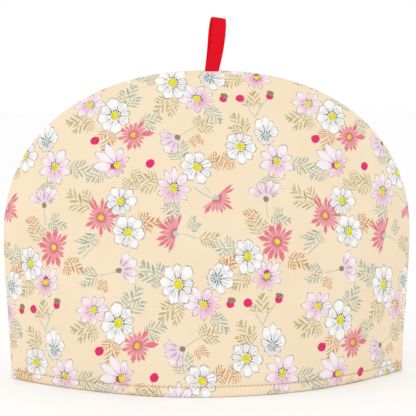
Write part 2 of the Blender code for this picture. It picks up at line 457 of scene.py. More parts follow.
def ribbon_path():
    """The middle line in (y, z): up the front tail, round the drop, and down the back tail."""
    around = np.linspace(0, 2 * math.pi, LOOP_POINTS)
    swell = LOOP_SWELL * np.sin(around) * np.sin(around / 2) ** LOOP_BELLY
    y = -(swell + (TAIL_GAP + RIBBON_THICK) / 2 * np.cos(around / 2))
    z = (LOOP_HEIGHT - RIBBON_THICK / 2) * (1 - np.cos(around)) / 2
    down = np.linspace(-TAIL, 0, 6)[:-1]
    y = np.concatenate([np.full(5, y[0]), y, np.full(5, y[-1])])
    return np.stack([y, np.concatenate([down, z, down[::-1]])], axis=-1)


def ribbon_section():
    """(across, through) of a flat section with rounded selvedges: a very square superellipse."""
    turn = np.arange(EDGE_POINTS) / EDGE_POINTS * 2 * math.pi
    across = np.sign(np.cos(turn)) * np.abs(np.cos(turn)) ** 0.35
    through = np.sign(np.sin(turn)) * np.abs(np.sin(turn)) ** 0.35
    return across * RIBBON_WIDTH / 2, through * RIBBON_THICK / 2


def make_ribbon():
    path = ribbon_path()
    along = np.gradient(path, axis=0)
    along[:5], along[-5:] = (0, 1), (0, -1)
    along /= np.linalg.norm(along, axis=1, keepdims=True)
    across, through = ribbon_section()
    travelled = np.concatenate([[0], np.cumsum(np.linalg.norm(np.diff(path, axis=0), axis=1))])
    x = across[None, :] - LOOP_TWIST * path[:, :1]
    y = path[:, :1] - along[:, 1:] * through[None, :]
    z = path[:, 1:] + along[:, :1] * through[None, :]
    x = x + 0.0004 * np.sin(z / 0.009) * (z > 0)
    foot = HEIGHT - SEAM_GROOVE
    points = np.stack([LOOP_X + x * math.cos(LOOP_LEAN) + z * math.sin(LOOP_LEAN), y,
                       foot - x * math.sin(LOOP_LEAN) + z * math.cos(LOOP_LEAN)], axis=-1)
    index = np.arange(len(path) * EDGE_POINTS).reshape(len(path), EDGE_POINTS)
    ahead = np.roll(index, -1, axis=1)
    sides = np.stack([index[:-1], ahead[:-1], ahead[1:], index[1:]], axis=-1).reshape(-1, 4)
    caps = [index[0, ::-1].tolist(), index[-1].tolist()]
    mesh = bpy.data.meshes.new("ribbon_loop")
    mesh.from_pydata(points.reshape(-1, 3).tolist(), [], sides.tolist() + caps)
    places = np.stack(np.broadcast_arrays(across[None, :], travelled[:, None]), axis=-1).reshape(-1, 2)
    corners = np.empty(len(mesh.loops), np.int32)
    mesh.loops.foreach_get("vertex_index", corners)
    add_map(mesh, "cloth", places[corners])
    ribbon = link_piece("ribbon_loop", mesh)
    mesh.set_sharp_from_angle(angle=math.radians(60))
    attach(ribbon, "root")
    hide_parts("hanging_loop")
    return ribbon, float(travelled[-1])


ribbon_loop, ribbon_length = make_ribbon()
print("ribbon", round(1000 * ribbon_length), "mm long")

# %% [markdown]
# ## Tools for drawing with nodes
# The print is drawn by shader nodes, so it stays sharp at any distance and follows the cloth map. A
# drawing needs a lot of arithmetic, and these helpers make one node each, so that the steps below
# read like sums. Colours are written as a screen shows them and turned into linear light here.

# %% Node helpers
def paint(red, green, blue):
    """Linear colour from the three screen values, 0 to 255."""
    screen = np.array([red, green, blue]) / 255
    linear = np.where(screen <= 0.04045, screen / 12.92, ((screen + 0.055) / 1.055) ** 2.4)
    return (*(float(v) for v in linear), 1.0)


def plug(tree, sockets, values):
    for socket, value in zip(sockets, values):
        if isinstance(value, bpy.types.NodeSocket):
            tree.links.new(value, socket)
        else:
            socket.default_value = value


def calc(tree, operation, *values, clamp=False):
    """One Math node; each value is a number or another node's output."""
    made = tree.nodes.new("ShaderNodeMath")
    made.operation = operation
    made.use_clamp = clamp
    plug(tree, made.inputs, values)
    return made.outputs[0]


def vector_calc(tree, operation, *values):
    """One Vector Math node."""
    made = tree.nodes.new("ShaderNodeVectorMath")
    made.operation = operation
    plug(tree, made.inputs, values)
    return made.outputs["Value" if operation in ("LENGTH", "DISTANCE", "DOT_PRODUCT") else "Vector"]


def mix_colour(tree, factor, first, second):
    made = tree.nodes.new("ShaderNodeMix")
    made.data_type = "RGBA"
    plug(tree, (made.inputs[0], made.inputs[6], made.inputs[7]), (factor, first, second))
    return made.outputs[2]


def mix_vector(tree, factor, first, second):
    made = tree.nodes.new("ShaderNodeMix")
    made.data_type = "VECTOR"
    plug(tree, (made.inputs[0], made.inputs[4], made.inputs[5]), (factor, first, second))
    return made.outputs[1]


def fade(tree, value, start, width):
    """0 where value is under start, rising to 1 over width."""
    return calc(tree, "MULTIPLY_ADD", value, 1 / width, -start / width, clamp=True)


def noise(tree, place, scale, detail=2.0):
    made = tree.nodes.new("ShaderNodeTexNoise")
    plug(tree, (made.inputs["Vector"], made.inputs["Scale"], made.inputs["Detail"]), (place, scale, detail))
    return made.outputs


def chance(tree, value):
    """A fixed random number for each different value."""
    made = tree.nodes.new("ShaderNodeTexWhiteNoise")
    made.noise_dimensions = "1D"
    plug(tree, (made.inputs["W"],), (value,))
    return made.outputs["Value"]


def new_group(name, inputs, outputs):
    """A node group with named sockets; inputs and outputs are (name, kind, default)."""
    tree = bpy.data.node_groups.new(name, "ShaderNodeTree")
    for direction, rows in (("INPUT", inputs), ("OUTPUT", outputs)):
        for label, kind, default in rows:
            socket = tree.interface.new_socket(label, in_out=direction, socket_type="NodeSocket" + kind)
            if default is not None and direction == "INPUT":
                socket.default_value = default
    entry = tree.nodes.new("NodeGroupInput")
    leave = tree.nodes.new("NodeGroupOutput")
    return tree, entry.outputs, leave.inputs


def use_group(tree, group, **values):
    made = tree.nodes.new("ShaderNodeGroup")
    made.node_tree = group
    for name, value in values.items():
        plug(tree, (made.inputs[name.replace("_", " ").capitalize()],), (value,))
    return made.outputs


def polar(tree, place):
    """x, y, kind, radius and angle of a place in a motif's own frame."""
    split = tree.nodes.new("ShaderNodeSeparateXYZ")
    plug(tree, split.inputs, (place,))
    x, y, kind = split.outputs
    squares = calc(tree, "MULTIPLY_ADD", y, y, calc(tree, "MULTIPLY", x, x))
    return x, y, kind, calc(tree, "SQRT", squares), calc(tree, "ARCTAN2", y, x)


print("helpers ready")

# %% [markdown]
# ## One flower, many flowers
# Every flower on the cloth is the same idea: petals round a middle. In polar terms a petal is a
# slice of the circle whose tip reaches further in the slice's middle than at its sides. The group
# below draws that with ink lines, streaks and a flush of colour, and its inputs make it a broad
# white cosmos, a fringed coral flower, or, with a narrow spread, a flower seen from the side.

# %% Flower group
SLICE_INPUTS = (
    ("Place", "Vector", None), ("Petals", "Float", 8.0), ("Notch", "Float", 0.5), ("Blunt", "Float", 4.0),
    ("Teeth", "Float", 0.03), ("Uneven", "Float", 0.2), ("Spread", "Float", 4.0),
    ("Off centre", "Float", 0.0),
    ("Ink width", "Float", 0.04), ("Ink amount", "Float", 1.0), ("Streaks", "Float", 0.5),
    ("Flush amount", "Float", 0.0), ("Flush side", "Float", 0.0), ("Petal", "Color", (1, 1, 1, 1)),
    ("Flush", "Color", (1, 1, 1, 1)), ("Ink", "Color", (0, 0, 0, 1)), ("Streak", "Color", (0, 0, 0, 1)),
)


def build_flower_group():
    tree, given, result = new_group(
        "Flower", SLICE_INPUTS, (("Colour", "Color", None), ("Mask", "Float", None)))
    kind, radius, angle = polar(tree, given["Place"])[2:]
    seed = calc(tree, "MULTIPLY", kind, 7.31)
    # Uneven slices: the angle is bent by two slow waves
    wave = calc(tree, "SINE", calc(tree, "MULTIPLY_ADD", angle, 2.0, seed))
    bent = calc(tree, "MULTIPLY_ADD", wave, 0.10, angle)
    wave = calc(tree, "SINE", calc(tree, "MULTIPLY_ADD", angle, 3.0, calc(tree, "MULTIPLY", seed, 1.7)))
    bent = calc(tree, "MULTIPLY_ADD", wave, 0.06, bent)
    turns = calc(tree, "MULTIPLY_ADD", bent, 1 / (2 * math.pi), 0.5)
    slices = calc(tree, "MULTIPLY", calc(tree, "FRACT", turns), given["Petals"])
    number = calc(tree, "FLOOR", slices)
    offset = calc(tree, "MULTIPLY_ADD", calc(tree, "FRACT", slices), 2.0, -1.0)
    luck = chance(tree, calc(tree, "MULTIPLY_ADD", seed, 3.1, number))
    side = calc(tree, "ABSOLUTE", offset)
    # How far the petal reaches at this angle
    sides = calc(tree, "MULTIPLY", calc(tree, "POWER", side, given["Blunt"]), given["Notch"])
    teeth = calc(tree, "MULTIPLY", calc(tree, "COSINE", calc(tree, "MULTIPLY", offset, 8.5)), given["Teeth"])
    reach = calc(tree, "ADD", calc(tree, "SUBTRACT", 1.0, sides), teeth)
    size = calc(tree, "SUBTRACT", 1.0, calc(tree, "MULTIPLY", luck, given["Uneven"]))
    shift = calc(tree, "MULTIPLY_ADD", calc(tree, "COSINE", angle), given["Off centre"], 1.0)
    reach = calc(tree, "MULTIPLY", calc(tree, "MULTIPLY", reach, size), shift)
    left = calc(tree, "SUBTRACT", reach, radius)
    turned = calc(tree, "ABSOLUTE", angle)
    within = fade(tree, calc(tree, "SUBTRACT", given["Spread"], turned), 0.0, 0.06)
    mask = calc(tree, "MULTIPLY", fade(tree, left, 0.0, 0.03), within)
    # Ink along the petal's edge and, finer, between neighbours
    edge = calc(tree, "SUBTRACT", 1.5, calc(tree, "DIVIDE", left, given["Ink width"]), clamp=True)
    gap = calc(tree, "MULTIPLY", calc(tree, "SUBTRACT", 1.0, side), radius)
    gap = calc(tree, "DIVIDE", calc(tree, "MULTIPLY", gap, math.pi), given["Petals"])
    between = calc(tree, "SUBTRACT", 1.3, calc(tree, "DIVIDE", gap, 0.028), clamp=True)
    between = calc(tree, "MULTIPLY", between, fade(tree, radius, 0.22, 0.1))
    ink = calc(tree, "MULTIPLY", calc(tree, "MAXIMUM", edge, between), given["Ink amount"])
    # Fine streaks along each petal
    vein = calc(tree, "FRACT", calc(tree, "MULTIPLY_ADD", offset, 1.6, calc(tree, "MULTIPLY", luck, 3.0)))
    vein = calc(tree, "ABSOLUTE", calc(tree, "SUBTRACT", vein, 0.5))
    vein = calc(tree, "SUBTRACT", 1.2, calc(tree, "MULTIPLY", vein, 5.0), clamp=True)
    vein_tip = calc(tree, "MULTIPLY_ADD", luck, 0.35, 0.5)
    vein_ends = calc(tree, "MULTIPLY", fade(tree, radius, 0.22, 0.1),
                     fade(tree, calc(tree, "SUBTRACT", vein_tip, radius), 0.0, 0.1))
    vein = calc(tree, "MULTIPLY", calc(tree, "MULTIPLY", vein, vein_ends), given["Streaks"])
    # The flush is deepest round the middle, and on one side of it if there is a flush side
    lower = calc(tree, "MULTIPLY", calc(tree, "COSINE", angle), given["Flush side"])
    lower = calc(tree, "SUBTRACT", 0.5, lower, clamp=True)
    blush = calc(tree, "MULTIPLY", calc(tree, "SUBTRACT", 0.85, radius, clamp=True), lower)
    blush = calc(tree, "MULTIPLY", blush, given["Flush amount"], clamp=True)
    colour = mix_colour(tree, blush, given["Petal"], given["Flush"])
    colour = mix_colour(tree, vein, colour, given["Streak"])
    colour = mix_colour(tree, ink, colour, given["Ink"])
    plug(tree, (result["Colour"], result["Mask"]), (colour, mask))
    return tree


flower_group = build_flower_group()
print("flower group", len(flower_group.nodes), "nodes")

# %% [markdown]
# ## The eyes of the flowers
# A cosmos has a yellow middle, mottled with olive, with a broken ring of dark dots. Seen from
# behind it shows a pale green one with short dark strokes instead.

# %% Eye groups
def build_eye_group():
    tree, given, result = new_group(
        "Yellow eye", (("Place", "Vector", None), ("Size", "Float", 0.2), ("Dots", "Float", 1.0)),
        (("Colour", "Color", None), ("Mask", "Float", None)))
    kind, radius, angle = polar(tree, given["Place"])[2:]
    seed = calc(tree, "MULTIPLY", kind, 5.7)
    disc = calc(tree, "DIVIDE", calc(tree, "SUBTRACT", given["Size"], radius), 0.03, clamp=True)
    mottle = noise(tree, given["Place"], 14.0)["Fac"]
    colour = mix_colour(tree, fade(tree, mottle, 0.52, 0.12), paint(232, 226, 62), paint(170, 162, 48))
    rim = fade(tree, calc(tree, "SUBTRACT", radius, given["Size"]), -0.05, 0.05)
    colour = mix_colour(tree, calc(tree, "MULTIPLY", rim, 0.5), colour, paint(150, 150, 70))
    around = calc(tree, "MULTIPLY", calc(tree, "MULTIPLY_ADD", angle, 1 / (2 * math.pi), 0.5), 13.0)
    luck = chance(tree, calc(tree, "ADD", calc(tree, "FLOOR", around), seed))
    aside = calc(tree, "MULTIPLY", calc(tree, "SUBTRACT", calc(tree, "FRACT", around), 0.5), 3.0)
    away = calc(tree, "MULTIPLY_ADD", luck, 0.04, calc(tree, "MULTIPLY", given["Size"], 1.08))
    away = calc(tree, "DIVIDE", calc(tree, "SUBTRACT", radius, away), 0.038)
    dot = calc(tree, "MULTIPLY_ADD", away, away, calc(tree, "MULTIPLY", aside, aside))
    dot = calc(tree, "SUBTRACT", 1.7, dot, clamp=True)
    arc = fade(tree, calc(tree, "SINE", calc(tree, "ADD", angle, seed)), -0.35, 0.2)
    dot = calc(tree, "MULTIPLY", calc(tree, "MULTIPLY", dot, arc), given["Dots"])
    maroon = calc(tree, "GREATER_THAN", calc(tree, "FRACT", calc(tree, "MULTIPLY", kind, 7.0)), 0.45)
    dark = mix_colour(tree, maroon, paint(60, 56, 50), paint(150, 44, 62))
    colour = mix_colour(tree, dot, colour, dark)
    plug(tree, (result["Colour"], result["Mask"]), (colour, calc(tree, "MAXIMUM", disc, dot)))
    return tree


def build_back_eye_group():
    tree, given, result = new_group(
        "Green eye", (("Place", "Vector", None),), (("Colour", "Color", None), ("Mask", "Float", None)))
    radius, angle = polar(tree, given["Place"])[3:]
    disc = calc(tree, "MULTIPLY", calc(tree, "SUBTRACT", 0.17, radius), 30.0, clamp=True)
    around = calc(tree, "MULTIPLY", calc(tree, "MULTIPLY_ADD", angle, 1 / (2 * math.pi), 0.5), 10.0)
    aside = calc(tree, "ABSOLUTE", calc(tree, "SUBTRACT", calc(tree, "FRACT", around), 0.5))
    aside = calc(tree, "MULTIPLY", calc(tree, "MULTIPLY", aside, radius), 0.62)
    luck = chance(tree, calc(tree, "FLOOR", around))
    stroke = calc(tree, "SUBTRACT", 1.6, calc(tree, "MULTIPLY", aside, 36.0), clamp=True)
    tip = calc(tree, "MULTIPLY_ADD", luck, 0.14, 0.3)
    stroke = calc(tree, "MULTIPLY", stroke, fade(tree, calc(tree, "SUBTRACT", tip, radius), 0.0, 0.03))
    stroke = calc(tree, "MULTIPLY", stroke, fade(tree, radius, 0.12, 0.03))
    colour = mix_colour(tree, stroke, paint(186, 214, 200), paint(58, 62, 60))
    plug(tree, (result["Colour"], result["Mask"]), (colour, calc(tree, "MAXIMUM", disc, stroke)))
    return tree


eye_group = build_eye_group()
back_eye_group = build_back_eye_group()
print("eye groups ready")

# %% [markdown]
# ## Sprigs, stems and buds
# The leaves are feathery sprigs: a bent middle line with slanting leaflets. Leaflets that slant are
# stripes across "distance along minus distance aside", cut off at an outline. The kind's whole
# number picks the colour, and its fraction bends the sprig. Kind 3 is a bare stem.

# %% Sprig and bud groups
LEAFLETS = 4.2


def build_sprig_group():
    tree, given, result = new_group(
        "Sprig", (("Place", "Vector", None),), (("Colour", "Color", None), ("Mask", "Float", None)))
    x, y, kind = polar(tree, given["Place"])[:3]
    bend = calc(tree, "SUBTRACT", calc(tree, "FRACT", kind), 0.5)
    arch = calc(tree, "MULTIPLY", calc(tree, "MULTIPLY", x, calc(tree, "SUBTRACT", 1.0, x)), 1.6)
    aside = calc(tree, "SUBTRACT", y, calc(tree, "MULTIPLY", arch, bend))
    left_side = calc(tree, "GREATER_THAN", aside, 0.0)
    aside = calc(tree, "ABSOLUTE", aside)
    along = calc(tree, "SUBTRACT", x, calc(tree, "MULTIPLY", aside, 1.15))
    steps = calc(tree, "MULTIPLY_ADD", along, LEAFLETS, calc(tree, "MULTIPLY", left_side, 0.45))
    number = calc(tree, "ADD", calc(tree, "FLOOR", steps), calc(tree, "MULTIPLY", left_side, 17.0))
    luck = chance(tree, calc(tree, "MULTIPLY_ADD", kind, 9.3, number))
    middle = calc(tree, "ABSOLUTE", calc(tree, "SUBTRACT", calc(tree, "FRACT", steps), 0.5))
    middle = calc(tree, "MULTIPLY", middle, 2.0)
    # A leaflet's length falls towards the tip; it is fattest before its own middle
    outline = calc(tree, "MULTIPLY", calc(tree, "MULTIPLY_ADD", along, -0.75, 1.0),
                   calc(tree, "MULTIPLY_ADD", luck, 0.14, 0.30))
    filled = calc(tree, "DIVIDE", aside, calc(tree, "MAXIMUM", outline, 0.001))
    from_fattest = calc(tree, "SUBTRACT", filled, 0.5)
    thick = calc(tree, "MULTIPLY_ADD", calc(tree, "MULTIPLY", from_fattest, from_fattest), -1.6, 0.62)
    leaf = calc(tree, "MULTIPLY", calc(tree, "SUBTRACT", thick, middle), 5.0, clamp=True)
    leaf = calc(tree, "MULTIPLY", leaf, calc(tree, "LESS_THAN", filled, 1.0))
    leaf = calc(tree, "MULTIPLY", leaf, calc(tree, "GREATER_THAN", along, 0.0))
    leaf = calc(tree, "MULTIPLY", leaf, calc(tree, "LESS_THAN", along, 0.93))
    is_stem = calc(tree, "GREATER_THAN", kind, 3.0)
    leaf = calc(tree, "MULTIPLY", leaf, calc(tree, "SUBTRACT", 1.0, is_stem))
    # The middle line ends in a last leaflet; a bare stem keeps its width
    last_leaflet = calc(tree, "MULTIPLY", fade(tree, x, 0.72, 0.14),
                        calc(tree, "MULTIPLY_ADD", is_stem, -0.026, 0.03))
    width = calc(tree, "ADD", calc(tree, "MULTIPLY_ADD", is_stem, 0.012, 0.018), last_leaflet)
    stem = calc(tree, "MULTIPLY", calc(tree, "SUBTRACT", width, aside), 70.0, clamp=True)
    on_stem = calc(tree, "MULTIPLY", fade(tree, x, 0.0, 0.02),
                   fade(tree, calc(tree, "SUBTRACT", 1.0, x), 0.0, 0.1))
    stem = calc(tree, "MULTIPLY", stem, on_stem)
    sage = mix_colour(tree, luck, paint(150, 168, 156), paint(190, 198, 180))
    tan = mix_colour(tree, luck, paint(182, 164, 122), paint(208, 192, 154))
    rust = mix_colour(tree, luck, paint(196, 134, 90), paint(216, 170, 126))
    colour = mix_colour(tree, calc(tree, "GREATER_THAN", kind, 1.0), sage, tan)
    colour = mix_colour(tree, calc(tree, "GREATER_THAN", kind, 2.0), colour, rust)
    colour = mix_colour(tree, is_stem, colour, paint(190, 202, 188))
    plug(tree, (result["Colour"], result["Mask"]), (colour, calc(tree, "MAXIMUM", leaf, stem)))
    return tree


def build_bud_group():
    tree, given, result = new_group(
        "Bud", (("Place", "Vector", None),), (("Colour", "Color", None), ("Mask", "Float", None)))
    x, y, kind, radius = polar(tree, given["Place"])[:4]
    body = fade(tree, calc(tree, "SUBTRACT", 1.0, radius), 0.0, 0.12)
    speckle = noise(tree, given["Place"], 3.0)["Fac"]
    pink = mix_colour(tree, fade(tree, speckle, 0.5, 0.2), paint(226, 40, 112), paint(190, 24, 86))
    cupped = calc(tree, "MULTIPLY", calc(tree, "GREATER_THAN", kind, 1.0), calc(tree, "LESS_THAN", kind, 2.0))
    cup_x = calc(tree, "MULTIPLY", x, 0.95)
    cup_y = calc(tree, "MULTIPLY_ADD", y, 1.35, -1.35)
    cup = calc(tree, "SQRT", calc(tree, "MULTIPLY_ADD", cup_x, cup_x, calc(tree, "MULTIPLY", cup_y, cup_y)))
    cup = calc(tree, "MULTIPLY", fade(tree, calc(tree, "SUBTRACT", 1.0, cup), 0.0, 0.15), cupped)
    brown = mix_colour(tree, fade(tree, speckle, 0.42, 0.2), paint(126, 106, 84), paint(168, 160, 138))
    green = mix_colour(tree, fade(tree, speckle, 0.42, 0.2), paint(168, 200, 200), paint(206, 212, 212))
    colour = mix_colour(tree, cup, pink, brown)
    colour = mix_colour(tree, calc(tree, "GREATER_THAN", kind, 2.0), colour, brown)
    colour = mix_colour(tree, calc(tree, "GREATER_THAN", kind, 3.0), colour, green)
    plug(tree, (result["Colour"], result["Mask"]), (colour, calc(tree, "MAXIMUM", body, cup)))
    return tree


sprig_group = build_sprig_group()
bud_group = build_bud_group()
print("sprig group", len(sprig_group.nodes), "nodes")

# %% [markdown]
# ## Where the motifs lie
# A printed cloth repeats, here every 160 by 150 mm. A designer fills the repeat with a few bunches
# on a staggered plan and drops single stems into the gaps, so that no row or column shows. This
# layout is composed for this cosy: three columns, each 25 mm higher than the one before it, two
# bunches to a column, and a single stem halfway between them, all nudged a little off the plan.
#
# A bunch is drawn round its own middle. A head is one flower or bud, and a fan is a few sprigs that
# leave one point. Every measure is in millimetres and degrees. The whole number of a kind picks the
# colour or the view, and its fraction is the seed of the drawing.

# %% The plan of the repeat
REPEAT = (160.0, 150.0)
REPEAT_MIDDLE = (-20.0, 100.0)
COLUMNS_IN_REPEAT = 3
COLUMN_RISE = 25.0
FIRST_ROW = -50.0
BUNCHES_IN_COLUMN = 2
WHITE, PINK, BACK, HALF = 0, 1, 2, 3
SAGE, TAN, RUST, STEM = 0, 1, 2, 3
BUD, CUPPED, BROWN, GREEN = 0, 1, 2, 3
Motif = namedtuple("Motif", "u v size turn squash kind")
Head = namedtuple("Head", "layer u v size turn squash kind")
Fan = namedtuple("Fan", "kind u v facing step lengths")
Bunch = namedtuple("Bunch", "column row u v heads fans")


def bunch_middle(bunch):
    """The column's place across, and the row's height plus the column's rise, nudged by u and v.

    A row of one half lies midway between the bunches of rows nought and one."""
    across = (bunch.column + 0.5) * REPEAT[0] / COLUMNS_IN_REPEAT - REPEAT[0] / 2
    up = bunch.row * REPEAT[1] / BUNCHES_IN_COLUMN + bunch.column * COLUMN_RISE + FIRST_ROW
    return across + bunch.u, up + bunch.v


print("repeat", REPEAT, "mm, columns", round(REPEAT[0] / COLUMNS_IN_REPEAT, 1), "mm apart")

# %% The six bunches
BUNCHES = (
    Bunch(0, 0, 0, 1, (
        Head("front", 4, 2, 15.5, 75, 0.9, WHITE + 0.3),
        Head("behind", -14, 12, 14, 20, 0.85, PINK + 0.35),
        Head("coral", 17, -14, 15, 30, 0.9, 0.4),
        Head("bud", -11, -17, 3.7, 30, 0.9, BUD + 0.2),
    ), (
        Fan(SAGE, 10, 10, 60, 30, (16, 20, 15)),
        Fan(TAN, -12, 0, 198, 28, (16, 21, 19, 12)),
        Fan(RUST, 0, -10, 252, 34, (13, 17, 11)),
        Fan(SAGE, 22, -6, 18, 30, (13, 17, 11)),
    )),
    Bunch(0, 1, -3, -1, (
        Head("coral", -4, 3, 15.5, -60, 0.88, 0.85),
        Head("front", 15, -8, 13.5, 100, 0.95, WHITE + 0.2),
        Head("behind", 10, 14, 13, 40, 0.9, WHITE + 0.45),
    ), (
        Fan(TAN, -12, 10, 142, 28, (16, 21, 17)),
        Fan(SAGE, -8, -8, 232, 30, (16, 19, 13)),
        Fan(RUST, 22, -2, 6, 30, (13, 17, 12)),
        Fan(TAN, 16, 22, 68, 32, (12, 16, 11)),
        Fan(STEM, -4, -12, 222, 20, (20,)),
    )),
    Bunch(1, 0, 2, -1, (
        Head("front", -9, 5, 16.5, 90, 0.84, WHITE + 0.5),
        Head("behind", 8, -9, 15, 150, 0.9, PINK + 0.6),
        Head("front", 18, 9, 12.5, 10, 0.95, BACK + 0.4),
        Head("bud", 27, -9, 2.9, -20, 1.0, CUPPED + 0.3),
    ), (
        Fan(SAGE, -20, 8, 152, 28, (15, 20, 18, 11)),
        Fan(RUST, 22, 15, 48, 30, (11, 16, 11)),
        Fan(TAN, -8, -8, 236, 28, (16, 20, 17, 11)),
        Fan(SAGE, 14, -16, 312, 30, (12, 17, 12)),
    )),
    Bunch(1, 1, -1, 2, (
        Head("front", -8, -5, 16, 80, 0.86, PINK + 0.45),
        Head("behind", 9, 10, 14, -30, 0.92, WHITE + 0.1),
        Head("coral side", 22, -12, 15, -48, 1.0, 0.6),
        Head("bud", -24, 13, 3.7, 60, 0.85, BUD + 0.7),
    ), (
        Fan(TAN, -18, 0, 172, 28, (13, 19, 16)),
        Fan(SAGE, -2, 16, 108, 30, (15, 19, 13)),
        Fan(RUST, 18, 12, 24, 30, (12, 17, 12)),
        Fan(SAGE, -8, -15, 252, 30, (12, 17, 12)),
        Fan(STEM, 6, -4, -30, 20, (20,)),
    )),
    Bunch(2, 0, -2, 1, (
        Head("front", -9, -3, 14.5, -80, 0.8, WHITE + 0.6),
        Head("coral", 12, 7, 15, 100, 0.95, 0.3),
        Head("behind", 4, -17, 13.5, 60, 0.85, PINK + 0.75),
    ), (
        Fan(SAGE, -18, 2, 164, 30, (13, 18, 13)),
        Fan(TAN, 0, 12, 98, 28, (13, 18, 15)),
        Fan(RUST, 20, -4, 334, 30, (12, 17, 13)),
        Fan(TAN, -8, -16, 216, 30, (12, 17, 12)),
    )),
    Bunch(2, 1, 1, -2, (
        Head("front", 11, -7, 15.5, 85, 0.85, PINK + 0.3),
        Head("front", -15, 4, 13.5, 20, 1.0, WHITE + 0.35),
        Head("behind", 4, 13, 13, 90, 0.8, BACK + 0.6),
    ), (
        Fan(SAGE, 22, -8, 344, 30, (13, 19, 15)),
        Fan(TAN, -10, 14, 122, 30, (13, 19, 15)),
        Fan(RUST, -20, -4, 206, 30, (12, 17, 12)),
        Fan(SAGE, 4, -17, 284, 30, (12, 17, 11)),
    )),
)
print(len(BUNCHES), "bunches")

# %% The single stems between them
SINGLES = (
    Bunch(0, 0.5, 2, 1, (Head("pale side", 3, 1, 15.5, 12, 1.0, 0.3),),
          (Fan(SAGE, -12, -1, 190, 40, (13, 15)), Fan(RUST, -8, -4, 262, 36, (9, 10)))),
    Bunch(0, 1.5, 4, 0, (Head("front", 1, 2, 13.5, 150, 1.0, HALF + 0.55),),
          (Fan(SAGE, -8, -2, 200, 34, (13, 16, 11)), Fan(TAN, 8, -4, 318, 34, (12, 15)))),
    Bunch(1, 0.5, -6, 2, (Head("coral side", -2, 0, 15, 166, 1.0, 0.3),),
          (Fan(TAN, 14, -3, 350, 36, (12, 16)), Fan(SAGE, 8, 1, 58, 36, (10, 12)))),
    Bunch(1, 1.5, -2, -1, (Head("pale side", -3, -2, 16.5, 212, 1.0, 0.7),),
          (Fan(TAN, 10, 5, 30, 36, (13, 17, 12)), Fan(RUST, 6, -1, 310, 34, (9, 11)))),
    Bunch(2, 0.5, 3, 0, (Head("pale side", 0, 1, 16.5, 96, 1.0, 1.2),),
          (Fan(RUST, -5, -10, 196, 36, (12, 13)), Fan(SAGE, 3, -10, 342, 34, (12, 16, 11)))),
    Bunch(2, 1.5, -2, -1, (Head("bud", -10, 4, 3.4, 20, 0.95, BUD + 0.4),
                           Head("bud", 12, 6, 2.9, -15, 1.0, CUPPED + 0.2)),
          (Fan(TAN, 0, -8, 90, 40, (15, 19, 15)), Fan(STEM, 0, -12, 89, 66, (21, 18)))),
)
STALK = 15.0
CUP = 2.3


def stalk_and_cup(head):
    """The stem of a flower seen from the side runs straight back from it, out of a small cup."""
    cup_kind = GREEN if head.layer == "coral side" else BROWN
    cup = Head("bud", head.u, head.v, CUP, head.turn, 0.9, cup_kind + head.kind % 1)
    return cup, Fan(STEM, head.u, head.v, head.turn + 180, 0, (STALK,))


print(len(SINGLES), "single stems")

# %% [markdown]
# ## From bunches to layers
# The cloth is drawn in layers, as a screen printer would lay them: leaves, coral flowers, flowers at
# the back, flowers in front, buds. So the bunches are sorted into one table for each layer, with
# every place counted from the middle of the repeat.

# %% Layer tables
LEAST_BEND, BEND_RANGE = 0.28, 0.44
GOLDEN_STEP = 0.618


def heads_of(layer):
    """Each head of this layer, its own place added to the middle of its bunch."""
    made = []
    for bunch in BUNCHES + SINGLES:
        u, v = bunch_middle(bunch)
        cups = tuple(stalk_and_cup(head)[0] for head in bunch.heads if "side" in head.layer)
        made += [Motif(u + head.u, v + head.v, *head[3:])
                 for head in bunch.heads + cups if head.layer == layer]
    return made


def leafy_motifs():
    """Each fan's sprigs, turned by equal steps about its facing; every sprig bends by its own amount."""
    made = []
    for bunch in BUNCHES + SINGLES:
        u, v = bunch_middle(bunch)
        stalks = tuple(stalk_and_cup(head)[1] for head in bunch.heads if "side" in head.layer)
        for fan in bunch.fans + stalks:
            first = fan.facing - fan.step * (len(fan.lengths) - 1) / 2
            for number, length in enumerate(fan.lengths):
                bend = LEAST_BEND + BEND_RANGE * (len(made) * GOLDEN_STEP % 1)
                turn = first + number * fan.step
                made.append(Motif(u + fan.u, v + fan.v, length, turn, 1.0, fan.kind + bend))
    return made


SPRIGS = leafy_motifs()
LAYERS = ("behind", "front", "coral", "coral side", "pale side", "bud")
HEADS = {layer: heads_of(layer) for layer in LAYERS}
print({layer: len(heads) for layer, heads in HEADS.items()}, "and", len(SPRIGS), "sprigs and stems")

# %% [markdown]
# ## Folding the cloth onto one motif
# Drawing every motif by itself would repeat the drawing's nodes over a hundred times. Instead each layer
# asks, for every point of the cloth, which motif of its table is nearest, and turns the point into
# that motif's own frame. The drawing is then made only once for the whole layer. Wrap makes each
# motif come back in every repeat of the cloth.

